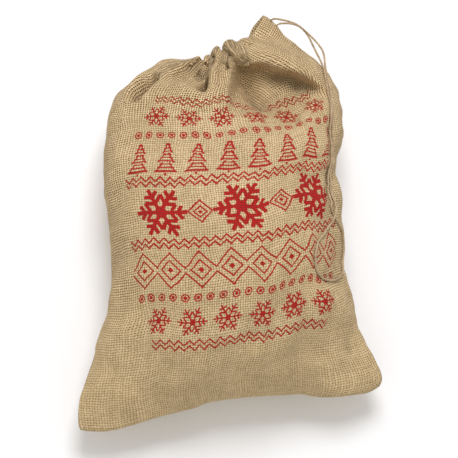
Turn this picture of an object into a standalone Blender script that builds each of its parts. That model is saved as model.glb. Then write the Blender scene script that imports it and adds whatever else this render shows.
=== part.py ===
"""Hessian drawstring sack, filled out and lying on its back.

One length of hessian is folded at the bottom, sewn up both sides and gathered at its hem by a
twine.  Metres, +Z up.  The sack lies on z = 0 with its mouth towards +Y, and the origin is the
middle of the flat place on which its back rests.
"""
import bpy
import numpy as np
from mathutils import Vector
from mathutils.bvhtree import BVHTree

# ---------------------------------------------------------------- driving dimensions
BAG_WIDTH = 0.300          # flat, side seam to side seam
BAG_HEIGHT = 0.400         # flat, bottom fold to hem
CLOTH_THICKNESS = 0.0015
EDGE_THICKNESS = 0.0042     # the two layers at a seam or the bottom fold, with a little room
TWINE_DIAMETER = 0.002
END_GAP = 0.0013           # from the twine's ends to the cloth
LYING_GAP = 0.0008         # under the twine where it lies on the cloth, with room for its chords

# ---------------------------------------------------------------- mesh density
FRONT_COLUMNS = 64         # the back has half as many
EVEN_STEPS = 121           # steps across a section by which its length is measured
# (from share, to share, rows of faces): shares run up the side seams
ROW_BANDS = (
    (0.00, 0.12, 4),
    (0.12, 0.68, 8),
    (0.68, 0.80, 4),
    (0.80, 0.90, 7),
    (0.90, 1.00, 6),
)
# The front's rows bend to run along the flap's lip: share of the cloth's width, share at the
# lip.  LIP_ROW is the row that meets it; where the table gives LIP_ROW, the rows are straight.
LIP_ROW = 0.8571
LIP_SHARES = (
    (0.00, 0.8571),
    (0.22, 0.8571),
    (0.32, 0.8900),
    (0.42, 0.9250),
    (0.52, 0.9140),
    (0.60, 0.8920),
    (0.66, 0.8680),
    (0.72, 0.8180),
    (0.76, 0.7840),
    (0.80, 0.7560),
    (0.84, 0.7320),
    (0.88, 0.7350),
    (0.94, 0.7980),
    (1.00, 0.8571),
)

# ---------------------------------------------------------------- the filled sack
# A row for each cross-section: share of the way up the side seams; the left seam's x, y, z; the
# right seam's x, y, z; how far the front rises above them and the back drops below them; the
# edge exponent (0.5 is round, 1 a lens); and how far a row of weave sags between the seams.
SECTIONS = (
    (0.00, -0.163, -0.158, 0.036, 0.120, -0.158, 0.038, 0.000, 0.000, 0.80, 0.000),
    (0.05, -0.157, -0.138, 0.038, 0.115, -0.137, 0.040, 0.017, 0.020, 0.78, 0.015),
    (0.12, -0.146, -0.113, 0.042, 0.106, -0.110, 0.044, 0.039, 0.043, 0.70, 0.029),
    (0.20, -0.132, -0.083, 0.047, 0.101, -0.078, 0.049, 0.057, 0.062, 0.62, 0.038),
    (0.30, -0.117, -0.046, 0.052, 0.103, -0.040, 0.053, 0.070, 0.074, 0.56, 0.041),
    (0.42, -0.109, 0.003, 0.056, 0.109, 0.007, 0.056, 0.077, 0.080, 0.52, 0.043),
    (0.54, -0.108, 0.052, 0.058, 0.113, 0.054, 0.057, 0.076, 0.080, 0.52, 0.043),
    (0.64, -0.103, 0.092, 0.059, 0.126, 0.093, 0.057, 0.070, 0.078, 0.52, 0.043),
    (0.73, -0.094, 0.128, 0.058, 0.124, 0.127, 0.058, 0.060, 0.068, 0.52, 0.043),
    (0.80, -0.078, 0.152, 0.057, 0.116, 0.153, 0.060, 0.049, 0.054, 0.52, 0.043),
    (0.87, -0.053, 0.170, 0.056, 0.096, 0.175, 0.062, 0.036, 0.034, 0.52, 0.038),
    (0.93, -0.034, 0.177, 0.056, 0.083, 0.193, 0.064, 0.024, 0.020, 0.55, 0.030),
    (1.00, -0.012, 0.173, 0.058, 0.069, 0.209, 0.062, 0.012, 0.010, 0.60, 0.010),
)
SECTION_FULLNESS = 2.3     # power of a section's outline: 2 is an ellipse, more is boxier
BACK_SAG = 0.55            # the back's rows of weave sag by this share of the front's
SEAM_SHARE = 0.14          # how far up the bottom fold's own shape reaches
CORNER_DROOP = 0.009       # the two bottom corners hang past the seams' ends
FOLD_DRAW = 0.014          # the bottom fold is drawn in between them
FOLD_DRAW_PLACE = 0.54
FOLD_DRAW_WIDTH = 0.20
FOLD_LIFT = 0.008          # its middle stands higher than its corners
FLOOR_EASE = 0.012         # height over which the back rounds onto the floor

# The gathered hem, from the left seam to the right: share of the cloth's width, x, y, z.
HEM_FRONT = (
    (0.00, -0.012, 0.173, 0.058),
    (0.09, -0.006, 0.171, 0.068),
    (0.26, 0.007, 0.170, 0.074),
    (0.42, 0.017, 0.177, 0.078),
    (0.58, 0.028, 0.182, 0.079),
    (0.80, 0.047, 0.182, 0.077),
    (0.86, 0.051, 0.186, 0.075),
    (0.93, 0.060, 0.199, 0.071),
    (1.00, 0.069, 0.209, 0.062),
)
HEM_BACK = (
    (0.00, -0.012, 0.173, 0.058),
    (0.10, -0.005, 0.174, 0.051),
    (0.30, 0.010, 0.177, 0.049),
    (0.60, 0.032, 0.186, 0.048),
    (0.85, 0.054, 0.197, 0.050),
    (0.94, 0.064, 0.203, 0.055),
    (1.00, 0.069, 0.209, 0.062),
)
HEM_REACH = 0.20           # share of the height over which the cloth is drawn in to the hem

# Folds pressed in at the hem: share of the cloth's width, depth, half width, and how far down
# the cloth they reach.
FOLDS_FRONT = (
    (0.175, 0.008, 0.0102, 0.030),
    (0.340, 0.008, 0.0090, 0.022),
    (0.500, 0.006, 0.0105, 0.026),
    (0.660, 0.004, 0.0110, 0.024),
)
FOLDS_BACK = (
    (0.24, 0.004, 0.0165, 0.045),
    (0.41, 0.005, 0.0150, 0.060),
    (0.58, 0.005, 0.0150, 0.050),
    (0.76, 0.005, 0.0150, 0.060),
)

# Creases in the front, seen from above: half width, depth, and the points they run through.
CREASES = (
    (0.007, 0.007, ((-0.040, 0.157), (-0.052, 0.148), (-0.064, 0.136), (-0.074, 0.122),
                    (-0.082, 0.107))),
    (0.007, 0.010, ((0.000, 0.158), (-0.002, 0.147), (-0.003, 0.138), (-0.004, 0.128))),
    (0.006, 0.003, ((0.116, 0.135), (0.113, 0.112), (0.108, 0.088), (0.101, 0.050),
                    (0.093, 0.007), (0.088, -0.025))),
)
CREASE_TAPER = 0.18        # share of a crease's length over which each end fades

# The flap: a broad fold beside the right seam that rolls under along this line, seen from above.
FLAP_LIP = ((0.024, 0.149), (0.041, 0.143), (0.053, 0.139), (0.067, 0.132), (0.084, 0.123),
            (0.097, 0.116), (0.107, 0.109), (0.116, 0.101))
FLAP_TAPER = 0.20
# Across the lip: distance up the flap (negative is in the hollow below it), lift, and lean
# towards the hollow.
FLAP_PROFILE = (
    (-0.045, 0.000, 0.000),
    (-0.022, -0.007, 0.000),
    (-0.007, -0.010, 0.000),
    (-0.001, -0.006, 0.001),
    (0.004, 0.007, 0.003),
    (0.009, 0.011, 0.003),
    (0.018, 0.010, 0.001),
    (0.032, 0.005, 0.000),
    (0.050, 0.000, 0.000),
)
LEAN_DIRECTION = (-0.4, -0.9)

# ---------------------------------------------------------------- the drawstring
# One twine leaves the hem by two holes beside the right seam.  Its two strands hang in an arc
# over the shoulder, lie side by side down the crease, cross, and are joined by a loop.
HOLE_1 = (0.0732, 0.2005)      # seen from above
HOLE_2 = (0.0772, 0.1926)
STRAND_1_ARC = ((0.0858, 0.2004, 0.0690), (0.0956, 0.1990, 0.0635), (0.1051, 0.1972, 0.0550),
                (0.1120, 0.1905, 0.0480), (0.1130, 0.1781, 0.0540), (0.1115, 0.1625, 0.0700))
STRAND_2_ARC = ((0.0876, 0.1928, 0.0765), (0.0979, 0.1914, 0.0730), (0.1056, 0.1869, 0.0670),
                (0.1122, 0.1795, 0.0650), (0.1165, 0.1691, 0.0680), (0.1168, 0.1552, 0.0780))
STRAIGHT_OUT = 0.004           # the twine leaves its hole straight, over this distance
# Seen from above: the middle of the pair of strands, and the loop from strand 1 to strand 2.
PAIR_LINE = ((0.1120, 0.1380), (0.1108, 0.1195), (0.1100, 0.1020), (0.1070, 0.0860),
             (0.1032, 0.0634), (0.0990, 0.0390), (0.0938, 0.0250), (0.0900, 0.0070),
             (0.0904, -0.0040))
TWINE_LOOP = ((0.0935, -0.0170), (0.0990, -0.0270), (0.0975, -0.0420), (0.0945, -0.0550),
              (0.0885, -0.0650), (0.0785, -0.0715), (0.0685, -0.0720), (0.0630, -0.0660),
              (0.0622, -0.0560), (0.0670, -0.0410), (0.0745, -0.0340), (0.0830, -0.0230),
              (0.0890, -0.0165))
STRAND_SPACING = 0.0036
STRAND_GAP = 0.0027            # two strands' middle lines come no closer than this
NEIGHBOUR_STEPS = 14           # points of the route too near along it to be another strand
CROSSING = (0.0909, -0.0085)   # strand 2 passes over strand 1 here, in a low hump
CROSSING_LIFT = 0.0032
CROSSING_REACH = 0.008
TWINE_POINTS = 150
ROUTE_STEPS = 500              # points of the smooth route before it is thinned
HELD_STEPS = 5                 # points at each end that keep their direction
SETTLE_ROUNDS = 20             # rounds of easing the twine and lifting it clear of the cloth

CLOTH_COLOUR = (0.47, 0.33, 0.19, 1.0)
TWINE_COLOUR = (0.52, 0.38, 0.22, 1.0)


# ---------------------------------------------------------------- curves through rows
def smooth(places, values, at):
    """The smooth curve through a table's rows, read at the places in at."""
    places = np.asarray(places, float)
    values = np.asarray(values, float)
    at = np.clip(np.asarray(at, float), places[0], places[-1])
    spans = np.diff(places)
    rates = np.diff(values) / spans
    slopes = np.empty_like(values)
    slopes[0] = rates[0]
    slopes[-1] = rates[-1]
    slopes[1:-1] = (rates[:-1] * spans[1:] + rates[1:] * spans[:-1]) / (spans[1:] + spans[:-1])
    row = np.clip(np.searchsorted(places, at, side="right") - 1, 0, len(spans) - 1)
    k = (at - places[row]) / spans[row]
    start = (1 + 2 * k) * (1 - k) ** 2 * values[row] + k * (1 - k) ** 2 * spans[row] * slopes[row]
    end = k * k * (3 - 2 * k) * values[row + 1] + k * k * (k - 1) * spans[row] * slopes[row + 1]
    return start + end


def columns_at(table, at):
    """Every column of a table after its first, read at the places in at."""
    rows = np.asarray(table, float)
    return [smooth(rows[:, 0], rows[:, column], at) for column in range(1, rows.shape[1])]


def ease(low, high, value):
    """0 below low, 1 above high, and smooth between them."""
    k = np.clip((value - low) / (high - low), 0.0, 1.0)
    return k * k * (3 - 2 * k)


# ---------------------------------------------------------------- the cloth's surface
def rest_on_floor(z):
    """Flatten what would be below the floor, rounding onto it."""
    rounded = (z + FLOOR_EASE) ** 2 / (4 * FLOOR_EASE)
    return np.where(z > FLOOR_EASE, z, np.where(z < -FLOOR_EASE, 0.0, rounded))


def section_point(share, across, front):
    """A point of the filled sack: share up the seams, across from the left seam to the right."""
    left_x, left_y, left_z, right_x, right_y, right_z, rise, drop, edge, sag = columns_at(
        SECTIONS, share)
    middle = 2 * across - 1
    x = left_x + (right_x - left_x) * across
    y = left_y + (right_y - left_y) * across
    z = left_z + (right_z - left_z) * across
    y = y - sag * (1 - middle ** 2) * (1.0 if front else BACK_SAG)
    near_fold = 1 - ease(0.0, SEAM_SHARE, share)
    drawn = FOLD_DRAW * np.exp(-((across - FOLD_DRAW_PLACE) / FOLD_DRAW_WIDTH) ** 2)
    y = y + near_fold * (drawn - CORNER_DROOP * (1 - np.abs(middle) ** 10))
    z = z + near_fold * FOLD_LIFT * (1 - middle ** 2)
    dome = np.clip(1 - np.abs(middle) ** SECTION_FULLNESS, 0.0, 1.0) ** edge
    if front:
        z = z + rise * dome + EDGE_THICKNESS / 2
    else:
        z = rest_on_floor(z - drop * dome - EDGE_THICKNESS / 2)
    return np.stack([x, y, z], axis=-1)


def even_places(share, cloth, front):
    """Where across its section each point lies, so that the cloth's columns are evenly spaced."""
    fine = np.linspace(0.0, 1.0, EVEN_STEPS)
    places = np.empty_like(share)
    for index in np.ndindex(share.shape):
        line = section_point(np.full_like(fine, share[index]), fine, front)
        run = np.concatenate([[0.0], np.cumsum(np.linalg.norm(np.diff(line, axis=0), axis=1))])
        places[index] = np.interp(cloth[index], run / run[-1], fine)
    return places


def outward(grid, front):
    """Unit normals of a grid of points, pointing out of the sack."""
    normal = np.cross(np.gradient(grid, axis=1), np.gradient(grid, axis=0))
    normal /= np.maximum(np.linalg.norm(normal, axis=-1, keepdims=True), 1e-9)
    return normal if front else -normal


def beside_line(x, y, line):
    """Signed distance from a line seen from above (positive on its left) and share along it."""
    line = np.asarray(line, float)
    lengths = np.linalg.norm(np.diff(line, axis=0), axis=1)
    nearest = np.full(x.shape, np.inf)
    signed = np.zeros(x.shape)
    along = np.zeros(x.shape)
    run = 0.0
    for start, end, length in zip(line[:-1], line[1:], lengths):
        way = (end - start) / length
        ahead = np.clip((x - start[0]) * way[0] + (y - start[1]) * way[1], 0.0, length)
        off_x = x - start[0] - ahead * way[0]
        off_y = y - start[1] - ahead * way[1]
        distance = np.hypot(off_x, off_y)
        closer = distance < nearest
        nearest = np.where(closer, distance, nearest)
        side = np.where(way[0] * off_y - way[1] * off_x < 0, -1.0, 1.0)
        signed = np.where(closer, side * distance, signed)
        along = np.where(closer, (run + ahead) / lengths.sum(), along)
        run += length
    return signed, along


def fade_ends(along, taper):
    """1 along a line, falling to 0 at its two ends."""
    return ease(0.0, taper, along) * (1 - ease(1 - taper, 1.0, along))


def bent_rows(share, cloth):
    """The rows' shares, bent so that LIP_ROW runs along the flap's lip."""
    lip = columns_at(LIP_SHARES, cloth)[0]
    return np.where(share < LIP_ROW, share * lip / LIP_ROW,
                    1 - (1 - share) * (1 - lip) / (1 - LIP_ROW))


def half_sack(shares, widths, front):
    """The front's or back's grid of points, a row for each share and a column for each width."""
    share, cloth = np.meshgrid(shares, widths, indexing="ij")
    if front:
        share = bent_rows(share, cloth)
    grid = section_point(share, even_places(share, cloth, front), front)
    top = np.ones_like(share)
    plain_hem = section_point(top, even_places(top, cloth, front), front)
    hem = np.stack(columns_at(HEM_FRONT if front else HEM_BACK, cloth), axis=-1)
    hem[..., 2] += EDGE_THICKNESS / (2 if front else -2)
    drawn_in = ease(1 - HEM_REACH, 1.0, share)[..., None]
    grid = grid + drawn_in * (hem - plain_hem)

    inward = np.zeros_like(share)
    below_hem = (1 - share) * BAG_HEIGHT
    for place, depth, half_width, reach in (FOLDS_FRONT if front else FOLDS_BACK):
        across = np.exp(-((cloth - place) * BAG_WIDTH / half_width) ** 2)
        inward += depth * across * np.exp(-(below_hem / reach) ** 2)
    if not front:
        return grid - outward(grid, front) * inward[..., None]

    x = grid[..., 0]
    y = grid[..., 1]
    for half_width, depth, line in CREASES:
        signed, along = beside_line(x, y, line)
        inward += depth * np.exp(-(signed / half_width) ** 2) * fade_ends(along, CREASE_TAPER)
    up_flap, along = beside_line(x, y, FLAP_LIP)
    lift, lean = columns_at(FLAP_PROFILE, up_flap)
    lip = fade_ends(along, FLAP_TAPER)
    grid = grid - outward(grid, front) * inward[..., None]
    grid[..., 0] += LEAN_DIRECTION[0] * lean * lip
    grid[..., 1] += LEAN_DIRECTION[1] * lean * lip
    grid[..., 2] += lift * lip
    return grid


def row_shares():
    """The shares of the height at which the cloth has a row of points."""
    shares = [0.0]
    for low, high, rows in ROW_BANDS:
        shares += [low + (high - low) * (row + 1) / rows for row in range(rows)]
    return np.array(shares)


# ---------------------------------------------------------------- objects
def material(name, colour, roughness):
    made = bpy.data.materials.new(name)
    made.use_nodes = True
    shader = made.node_tree.nodes["Principled BSDF"]
    shader.inputs["Base Color"].default_value = colour
    shader.inputs["Roughness"].default_value = roughness
    shader.inputs["Metallic"].default_value = 0.0
    return made


def link(name, data, finish):
    made = bpy.data.objects.new(name, data)
    data.materials.append(finish)
    bpy.context.scene.collection.objects.link(made)
    return made


def sack_surface():
    """The sack's outer surface: points and faces, open at the hem."""
    shares = row_shares()
    rows = len(shares)
    front_wide = FRONT_COLUMNS + 1
    back_wide = FRONT_COLUMNS // 2 + 1
    front = half_sack(shares, np.linspace(0.0, 1.0, front_wide), True)
    back = half_sack(shares, np.linspace(0.0, 1.0, back_wide), False)
    points = [tuple(point) for half in (front, back) for point in half.reshape(-1, 3)]

    def front_at(row, column):
        return row * front_wide + column

    def back_at(row, column):
        return rows * front_wide + row * back_wide + column

    faces = []
    for row in range(rows - 1):
        for column in range(front_wide - 1):
            faces.append((front_at(row, column), front_at(row, column + 1),
                          front_at(row + 1, column + 1), front_at(row + 1, column)))
        for column in range(back_wide - 1):
            faces.append((back_at(row, column + 1), back_at(row, column),
                          back_at(row + 1, column), back_at(row + 1, column + 1)))
        faces.append((back_at(row, 0), front_at(row, 0),
                      front_at(row + 1, 0), back_at(row + 1, 0)))
        faces.append((front_at(row, front_wide - 1), back_at(row, back_wide - 1),
                      back_at(row + 1, back_wide - 1), front_at(row + 1, front_wide - 1)))
    for column in range(back_wide - 1):
        faces.append((back_at(0, column), back_at(0, column + 1), front_at(0, 2 * column + 2),
                      front_at(0, 2 * column + 1), front_at(0, 2 * column)))
    return points, faces


def make_sack(points, faces):
    mesh = bpy.data.meshes.new("sack_cloth")
    mesh.from_pydata(points, [], faces)
    mesh.validate()
    mesh.shade_smooth()
    sack = link("sack_cloth", mesh, material("hessian", CLOTH_COLOUR, 0.95))
    shell = sack.modifiers.new("cloth thickness", "SOLIDIFY")
    shell.thickness = CLOTH_THICKNESS
    shell.offset = -1.0
    shell.use_even_offset = True
    shell.use_rim = True
    return sack


# ---------------------------------------------------------------- the drawstring's route
def lay_on(cloth, x, y, height):
    """The place height out from the cloth's upper side at x, y, and the cloth's normal there."""
    place, normal, _, _ = cloth.ray_cast(Vector((x, y, 1.0)), Vector((0.0, 0.0, -1.0)))
    return place + normal * height, normal


def leave_hole(cloth, hole, towards):
    """The twine's end and the point where it has left its hole, turning towards its arc."""
    end, normal = lay_on(cloth, *hole, END_GAP)
    way = (normal + (Vector(towards) - end).normalized()).normalized()
    return [end, end + way * STRAIGHT_OUT]


def pair_strands(cloth, height):
    """The places of the two strands where they lie side by side."""
    middles = [lay_on(cloth, x, y, height) for x, y in PAIR_LINE]
    strands = ([], [])
    for index, (middle, normal) in enumerate(middles):
        before = middles[max(index - 1, 0)][0]
        after = middles[min(index + 1, len(middles) - 1)][0]
        aside = (after - before).cross(normal).normalized() * (STRAND_SPACING / 2)
        strands[0].append(middle + aside)
        strands[1].append(middle - aside)
    return strands


def curve_through(points, count):
    """Evenly spaced points on the smooth curve through a route's points."""
    points = np.asarray(points, float)
    run = np.concatenate([[0.0], np.cumsum(np.linalg.norm(np.diff(points, axis=0), axis=1))])
    fine = np.linspace(0.0, run[-1], 4 * count)
    curve = np.stack([smooth(run, points[:, axis], fine) for axis in range(3)], axis=-1)
    length = np.concatenate([[0.0], np.cumsum(np.linalg.norm(np.diff(curve, axis=0), axis=1))])
    even = np.linspace(0.0, length[-1], count)
    return np.stack([np.interp(even, length, curve[:, axis]) for axis in range(3)], axis=-1)


def part_strands(dense):
    """Move the free points of the route apart where two strands come too close together."""
    steps = np.arange(len(dense))
    apart = dense[:, None] - dense[None]
    distance = np.linalg.norm(apart, axis=-1)
    distance[np.abs(steps[:, None] - steps) < NEIGHBOUR_STEPS] = np.inf
    nearest = distance.argmin(axis=1)
    gap = distance[steps, nearest]
    short = np.clip(STRAND_GAP - gap, 0.0, None)
    push = apart[steps, nearest] * (short / (2 * gap))[:, None]
    dense[HELD_STEPS:-HELD_STEPS] += push[HELD_STEPS:-HELD_STEPS]


def twine_route(cloth):
    """The drawstring's middle line, from one hole round the loop to the other."""
    clear = TWINE_DIAMETER / 2 + LYING_GAP
    strand_1, strand_2 = pair_strands(cloth, clear)
    loop = [lay_on(cloth, x, y, clear)[0] for x, y in TWINE_LOOP]
    ends = [leave_hole(cloth, hole, arc[0])
            for hole, arc in ((HOLE_1, STRAND_1_ARC), (HOLE_2, STRAND_2_ARC))]
    route = [*ends[0], *STRAND_1_ARC, *strand_1, *loop]
    lying_from = len(STRAND_1_ARC) + 2
    over_from = len(route)
    route += [*reversed(strand_2), *reversed(STRAND_2_ARC), *reversed(ends[1])]
    lying_to = over_from + len(strand_2) - 1
    marks = np.asarray([tuple(point) for point in route])
    dense = curve_through(marks, ROUTE_STEPS)
    first, over, last = (int(np.argmin(np.linalg.norm(dense - marks[index], axis=1)))
                         for index in (lying_from, over_from - 2, lying_to))
    for settle in range(SETTLE_ROUNDS):
        free = slice(HELD_STEPS, ROUTE_STEPS - HELD_STEPS)
        dense[free] = ((dense[:-2] + 2 * dense[1:-1] + dense[2:]) / 4)[HELD_STEPS - 1:
                                                                       1 - HELD_STEPS]
        part_strands(dense)
        for step in range(free.start, free.stop):
            point = Vector(dense[step])
            place, normal, _, _ = cloth.find_nearest(point)
            off_crossing = np.hypot(point.x - CROSSING[0], point.y - CROSSING[1])
            lift = CROSSING_LIFT * np.exp(-(off_crossing / CROSSING_REACH) ** 2)
            height = (point - place).dot(normal)
            lowest = clear + (lift if over < step < last else 0.0)
            if height < lowest or (settle == 0 and first <= step <= last):
                dense[step] = place + normal * lowest
    return curve_through(dense, TWINE_POINTS)


def make_twine(route):
    curve = bpy.data.curves.new("drawstring", "CURVE")
    curve.dimensions = "3D"
    curve.bevel_depth = TWINE_DIAMETER / 2
    curve.bevel_resolution = 2
    curve.use_fill_caps = True
    spline = curve.splines.new("POLY")
    spline.points.add(len(route) - 1)
    for point, place in zip(spline.points, route):
        point.co = (*place, 1.0)
    return link("drawstring", curve, material("twine", TWINE_COLOUR, 0.9))


for old in list(bpy.data.objects):
    bpy.data.objects.remove(old)

sack_points, sack_faces = sack_surface()
make_sack(sack_points, sack_faces)
make_twine(twine_route(BVHTree.FromPolygons([Vector(p) for p in sack_points], sack_faces)))
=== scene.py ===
"""Looks of the hessian sack: its woven cloth with a red print, its twine, a pale floor and soft light.

Metres, +Z up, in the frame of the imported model.  The sack lies on its back with its mouth towards
+Y.  The cloth's surface comes from tables of its cross-sections, hem, folds and creases, and its
weave and print are drawn in the cloth's own flat millimetres, so they bend with it.
"""
import math

import bpy
import numpy as np
from mathutils import Matrix, Vector
from mathutils.bvhtree import BVHTree


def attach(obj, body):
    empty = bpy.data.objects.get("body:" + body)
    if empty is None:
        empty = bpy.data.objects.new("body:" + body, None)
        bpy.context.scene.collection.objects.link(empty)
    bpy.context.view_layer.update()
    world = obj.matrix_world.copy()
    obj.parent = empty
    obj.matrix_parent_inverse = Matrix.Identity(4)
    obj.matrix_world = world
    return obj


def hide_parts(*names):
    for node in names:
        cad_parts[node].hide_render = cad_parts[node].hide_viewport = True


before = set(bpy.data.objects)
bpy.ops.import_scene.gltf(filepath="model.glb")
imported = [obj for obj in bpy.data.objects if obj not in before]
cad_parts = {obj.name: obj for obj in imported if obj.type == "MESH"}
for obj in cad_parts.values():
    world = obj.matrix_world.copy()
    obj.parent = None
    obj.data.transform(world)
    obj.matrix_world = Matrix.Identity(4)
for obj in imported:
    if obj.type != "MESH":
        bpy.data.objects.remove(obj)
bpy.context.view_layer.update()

# ---------------------------------------------------------------- driving dimensions
BAG_WIDTH = 0.300          # flat, side seam to side seam
BAG_HEIGHT = 0.400         # flat, bottom fold to hem
CLOTH_THICKNESS = 0.0011
EDGE_THICKNESS = 0.0042    # the two layers at a seam or the bottom fold, with a little room
TWINE_DIAMETER = 0.002
END_GAP = 0.0005           # from the twine's ends to the cloth
LYING_GAP = 0.0004         # under the twine where it lies on the cloth

# ---------------------------------------------------------------- mesh density
FRONT_COLUMNS = 210
BACK_COLUMNS = 70
EVEN_STEPS = 241           # steps across a section by which its length is measured
# (from share, to share, rows of faces): shares run up the side seams
ROW_BANDS = (
    (0.00, 0.10, 14),
    (0.10, 0.66, 42),
    (0.66, 0.84, 46),
    (0.84, 1.00, 58),
)

# ---------------------------------------------------------------- the camera and the light
CAMERA_TARGET = Vector((0.0, 0.0, 0.060))
CAMERA_DISTANCE = 1.4
CAMERA_SIDE_TILT = math.radians(8.0)     # the camera stands this far to the sack's left
CAMERA_FOOT_TILT = math.radians(18.0)    # and this far towards its bottom fold
CAMERA_ROLL = math.radians(10.02)
PHOTO_WIDTH = 458                        # pixels
PIXEL_AT_TARGET = 0.000923               # metres a pixel at the target
SENSOR_WIDTH = 36.0                      # millimetres

# ---------------------------------------------------------------- the filled sack
# A row for each cross-section: share of the way up the side seams; the left seam's x, y, z; the
# right seam's x, y, z; how far the front rises above them and the back drops below them; the
# edge exponent (0.5 is round, 1 a lens); and how far a row of weave sags between the seams.
SECTIONS = (
    (0.00, -0.163, -0.158, 0.036, 0.120, -0.158, 0.038, 0.000, 0.000, 0.80, 0.000),
    (0.05, -0.157, -0.138, 0.038, 0.115, -0.137, 0.040, 0.017, 0.020, 0.78, 0.015),
    (0.12, -0.146, -0.113, 0.042, 0.106, -0.110, 0.044, 0.039, 0.043, 0.70, 0.029),
    (0.20, -0.132, -0.083, 0.047, 0.101, -0.078, 0.049, 0.057, 0.062, 0.62, 0.038),
    (0.30, -0.117, -0.046, 0.052, 0.103, -0.040, 0.053, 0.070, 0.074, 0.56, 0.041),
    (0.42, -0.109, 0.003, 0.056, 0.109, 0.007, 0.056, 0.077, 0.080, 0.52, 0.043),
    (0.54, -0.108, 0.052, 0.058, 0.113, 0.054, 0.057, 0.076, 0.080, 0.52, 0.043),
    (0.64, -0.103, 0.092, 0.059, 0.126, 0.093, 0.057, 0.070, 0.078, 0.52, 0.043),
    (0.73, -0.094, 0.128, 0.058, 0.124, 0.127, 0.058, 0.060, 0.068, 0.52, 0.043),
    (0.80, -0.078, 0.152, 0.057, 0.116, 0.153, 0.060, 0.049, 0.054, 0.52, 0.043),
    (0.87, -0.053, 0.170, 0.056, 0.096, 0.175, 0.062, 0.036, 0.034, 0.52, 0.038),
    (0.93, -0.034, 0.177, 0.056, 0.083, 0.193, 0.064, 0.024, 0.020, 0.55, 0.030),
    (1.00, -0.012, 0.173, 0.058, 0.069, 0.209, 0.062, 0.012, 0.010, 0.60, 0.010),
)
# How far each seam stands to the right of those places: share up the seams, metres.
LEFT_SWAY = (
    (0.000, 0.0032), (0.010, 0.0010), (0.022, 0.0000), (0.180, 0.0000), (0.220, -0.0006),
    (0.247, 0.0016), (0.273, 0.0010), (0.330, 0.0000), (0.490, 0.0000), (0.527, 0.0008),
    (0.560, 0.0000), (0.620, 0.0000), (0.647, 0.0010), (0.672, 0.0034), (0.700, 0.0014),
    (0.735, 0.0000), (0.820, 0.0000), (0.845, 0.0030), (0.865, 0.0042), (0.900, 0.0050),
    (0.950, 0.0020), (1.000, 0.0000),
)
RIGHT_SWAY = (
    (0.000, -0.0052), (0.010, -0.0016), (0.022, 0.0000), (0.060, 0.0010), (0.100, 0.0000),
    (0.127, -0.0016), (0.155, 0.0010), (0.193, 0.0036), (0.220, 0.0018), (0.247, -0.0018),
    (0.273, -0.0034), (0.310, -0.0008), (0.350, 0.0000), (0.380, -0.0035), (0.402, -0.0040),
    (0.445, 0.0005), (0.473, -0.0010), (0.500, -0.0042), (0.527, -0.0012), (0.550, 0.0000),
    (0.578, 0.0026), (0.620, 0.0008), (0.742, 0.0000), (0.790, -0.0040), (0.817, -0.0042),
    (0.848, -0.0005), (0.887, -0.0042), (0.912, -0.0030), (0.940, -0.0010), (1.000, 0.0000),
)
SECTION_FULLNESS = 2.3     # power of a section's outline: 2 is an ellipse, more is boxier
BACK_SAG = 0.55            # the back's rows of weave sag by this share of the front's
SEAM_SHARE = 0.14          # how far up the bottom fold's own shape reaches
CORNER_DROOP = 0.009       # the bottom fold hangs this far past the seams' ends
CORNER_SHARPNESS = 10      # power by which it turns up to them at its two ends
# How far the bottom fold is drawn in between them: share of the width, metres.
FOLD_DRAWN = (
    (0.000, -0.0022), (0.040, -0.0004), (0.080, 0.0000), (0.180, 0.0034), (0.270, 0.0070),
    (0.330, 0.0084), (0.410, 0.0122), (0.500, 0.0126), (0.590, 0.0114), (0.680, 0.0090),
    (0.730, 0.0080), (0.780, 0.0036), (0.850, 0.0006), (0.910, -0.0006), (0.960, -0.0026),
    (1.000, -0.0034),
)
FOLD_LIFT = 0.008          # its middle stands higher than its corners
FLOOR_EASE = 0.012         # height over which the back rounds onto the floor

# The gathered hem, from the left seam to the right: share of the cloth's width, x, y, z.
HEM_FRONT = (
    (0.000, -0.0120, 0.1730, 0.058),
    (0.080, -0.0098, 0.1706, 0.068),
    (0.150, -0.0062, 0.1687, 0.075),
    (0.200, -0.0022, 0.1673, 0.076),
    (0.230, 0.0008, 0.1654, 0.072),
    (0.262, 0.0033, 0.1668, 0.076),
    (0.300, 0.0072, 0.1665, 0.077),
    (0.325, 0.0096, 0.1643, 0.073),
    (0.345, 0.0116, 0.1705, 0.077),
    (0.370, 0.0139, 0.1732, 0.080),
    (0.410, 0.0174, 0.1729, 0.081),
    (0.440, 0.0198, 0.1711, 0.078),
    (0.465, 0.0217, 0.1764, 0.080),
    (0.510, 0.0254, 0.1793, 0.082),
    (0.580, 0.0301, 0.1795, 0.083),
    (0.680, 0.0386, 0.1792, 0.081),
    (0.780, 0.0463, 0.1794, 0.078),
    (0.850, 0.0520, 0.1823, 0.076),
    (0.910, 0.0604, 0.1923, 0.073),
    (0.955, 0.0664, 0.2012, 0.068),
    (1.000, 0.0690, 0.2090, 0.062),
)
HEM_BACK = (
    (0.00, -0.0120, 0.1730, 0.058),
    (0.10, -0.0050, 0.1740, 0.051),
    (0.30, 0.0100, 0.1770, 0.049),
    (0.60, 0.0320, 0.1860, 0.048),
    (0.80, 0.0476, 0.1906, 0.049),
    (0.86, 0.0545, 0.1951, 0.050),
    (0.90, 0.0578, 0.2005, 0.052),
    (0.95, 0.0626, 0.2050, 0.056),
    (1.00, 0.0690, 0.2090, 0.062),
)
HEM_REACH = 0.20           # share of the height over which the cloth is drawn in to the hem

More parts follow.
